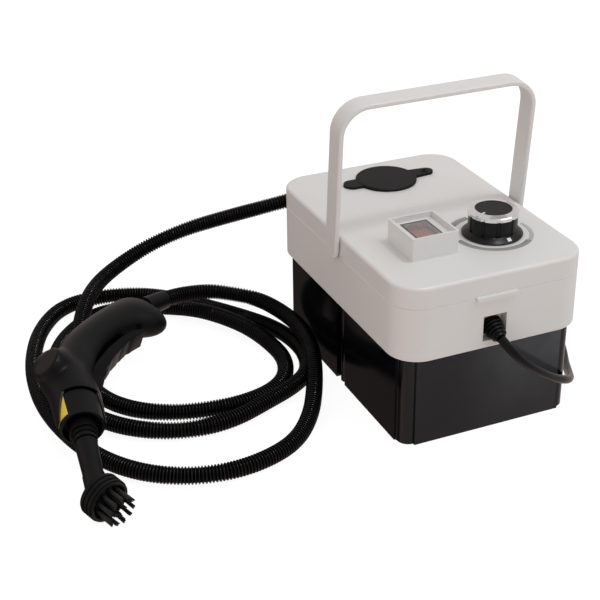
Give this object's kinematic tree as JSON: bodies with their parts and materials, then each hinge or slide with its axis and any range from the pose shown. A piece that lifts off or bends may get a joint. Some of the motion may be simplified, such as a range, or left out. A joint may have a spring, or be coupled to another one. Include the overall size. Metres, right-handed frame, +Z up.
{
  "type": "portable steam cleaner",
  "caption": "White-topped portable steam cleaner with a smoked water tank, bail handle, corrugated hose and a brush-tipped steam gun.",
  "frame": {"origin": "centre of the tank's underside, on the floor", "axes": "+Z up, -Y towards the front where the power cord comes out, +X to the right seen from the front"},
  "size_m": [0.5534, 0.4609, 0.284],
  "materials": {
    "white": "satin",
    "smoked": "gloss",
    "black_plastic": "matte",
    "hose_black": "gloss",
    "black_rubber": "matte",
    "red_lit": "gloss",
    "clear_cover": "gloss",
    "chrome": "polished",
    "steel": "satin",
    "brass": "satin",
    "aluminium": "cast",
    "silicone": "satin",
    "board_green": "satin",
    "copper_coil": "satin",
    "mark_black": "matte",
    "mark_white": "matte",
    "label_yellow": "satin",
    "bristle_black": "satin"
  },
  "bodies": {
    "machine": {"water_tank": "smoked", "tank_gasket": "black_rubber", "tank_screws": "steel", "lower_housing": "white", "top_cover": "white", "cover_screws": "steel", "switch_hood": "white", "switch_body": "black_plastic", "splash_cover": "clear_cover", "pot_body": "black_plastic", "pot_nut": "brass", "dial_marks": "mark_black", "cap_strap": "black_rubber", "cap_stud": "black_rubber", "filler_neck": "white", "neck_seal": "silicone", "boiler_block": "aluminium", "heater_loop": "steel", "thermostats": "black_plastic", "pump_coil": "copper_coil", "pump_body": "black_plastic", "pump_mounts": "black_rubber", "suction_tube": "silicone", "strainer": "white", "feed_tube": "silicone", "steam_pipe": "silicone", "circuit_board": "board_green", "strain_relief": "black_plastic", "terminal_block": "white", "power_cord": "black_rubber", "power_cord_coil": "black_rubber", "cord_tie": "black_plastic", "power_plug": "black_rubber", "plug_pins": "brass", "hose_fitting": "brass", "hose_nut": "brass", "hose_cuff": "black_plastic", "steam_hose": "hose_black", "gun_shell_upper": "black_plastic", "gun_shell_lower": "black_plastic", "trigger_spring": "steel", "gun_microswitch": "black_plastic", "gun_steam_tube": "silicone", "gun_hose_cuff": "black_plastic", "barrel_sleeve": "black_plastic", "gun_label": "label_yellow", "nozzle_adapter": "black_plastic", "nozzle_tube": "black_plastic"},
    "handle": {"bail_handle": "white", "handle_retainers": "steel"},
    "knob": {"knob_body": "black_plastic", "knob_ring": "chrome", "knob_disc": "black_plastic", "knob_pointer": "mark_white", "pot_shaft": "steel"},
    "rocker": {"rocker": "red_lit"},
    "cap": {"filler_cap": "black_rubber"},
    "trigger": {"gun_trigger": "black_plastic"},
    "brush": {"brush_head": "black_plastic", "brush_tufts": "bristle_black"}
  },
  "joints": [
    {"name": "handle_swing", "type": "hinge", "parent": "machine", "child": "handle", "pos_m": [0, -0.002, 0.144], "axis": [1, 0, 0], "range_deg": [-80, 83]},
    {"name": "knob_turn", "type": "hinge", "parent": "machine", "child": "knob", "pos_m": [0.0344, -0.0616, 0.158], "axis": [0, 0, 1], "range_deg": [-60, 210]},
    {"name": "rocker_tilt", "type": "hinge", "parent": "machine", "child": "rocker", "pos_m": [-0.0354, -0.0609, 0.164], "axis": [1, 0, 0], "range_deg": [0, 18]},
    {"name": "cap_open", "type": "hinge", "parent": "machine", "child": "cap", "pos_m": [0.03345, 0.0868, 0.1602], "axis": [0, 1, 0], "range_deg": [0, 120]},
    {"name": "trigger_pull", "type": "hinge", "parent": "machine", "child": "trigger", "pos_m": [-0.31894, 0.01431, 0.03828], "axis": [0.2328, -0.2115, 0.9493], "range_deg": [0, 7], "stiffness_Nm_per_rad": 0.6, "springref_deg": -11.46},
    {"name": "brush_pull", "type": "slide", "parent": "machine", "child": "brush", "axis": [-0.1261, -0.9744, -0.1862], "range_m": [0, 0.016]}
  ]
}
